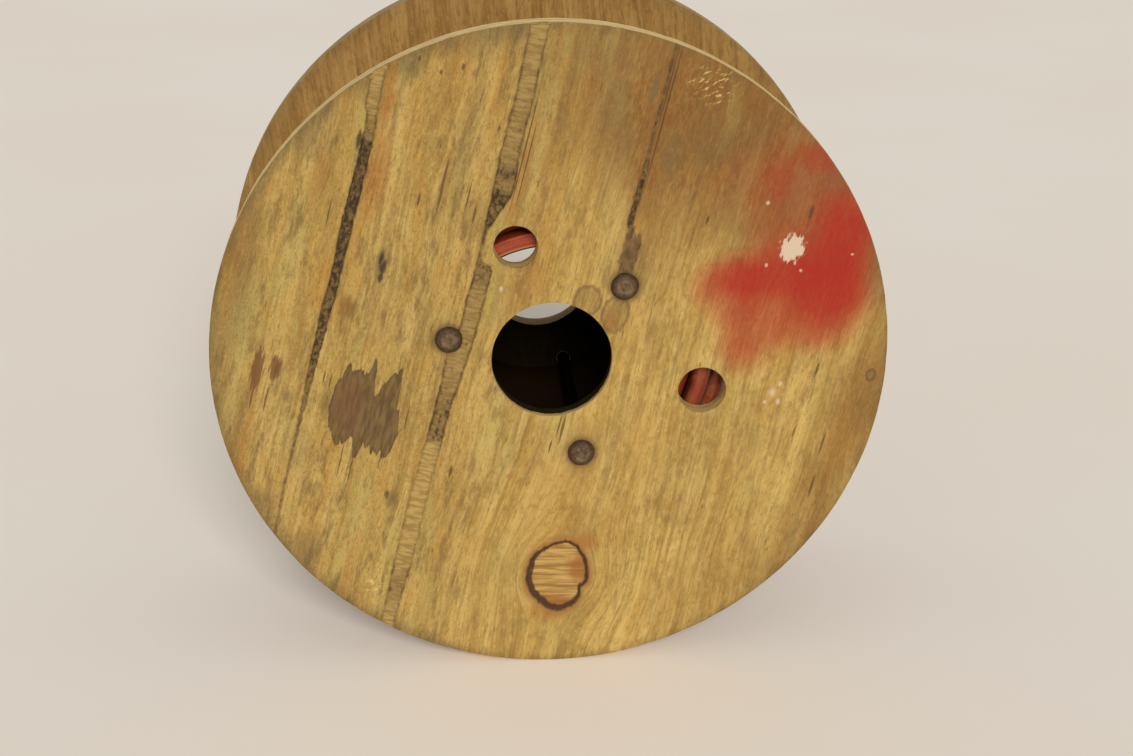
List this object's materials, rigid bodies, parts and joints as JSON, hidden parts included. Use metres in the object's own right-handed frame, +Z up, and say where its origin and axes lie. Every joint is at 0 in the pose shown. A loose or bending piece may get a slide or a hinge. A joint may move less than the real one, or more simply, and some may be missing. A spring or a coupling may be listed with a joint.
{
  "type": "wooden cable drum",
  "caption": "Small wooden cable drum: weathered plywood flanges bolted on a fibre tube, with a central arbor hole and a part load of red cable.",
  "frame": {"origin": "on the drum's axis, halfway between the flanges", "axes": "+Y along the axis, away from the flange with the small holes; +Z up, as the drum stands on its rims; +X to the right as seen from that flange"},
  "size_m": [0.4064, 0.1943, 0.4064],
  "materials": {
    "front_plywood": "weathered plywood face, splits, stains and a patch of red spray paint",
    "rear_plywood": "weathered plywood",
    "fibre_tube": "wound fibre tube",
    "cable_sheath": "red sheath, slightly glossy, dusty",
    "rusty_steel": "rusted"
  },
  "bodies": {
    "root": {"front_flange": "front_plywood", "rear_flange": "rear_plywood", "barrel_tube": "fibre_tube", "cable_winding": "cable_sheath", "bolt_1": "rusty_steel", "bolt_2": "rusty_steel", "bolt_3": "rusty_steel", "washer_1": "rusty_steel", "washer_2": "rusty_steel", "washer_3": "rusty_steel", "nut_1": "rusty_steel", "nut_2": "rusty_steel", "nut_3": "rusty_steel"}
  },
  "joints": []
}
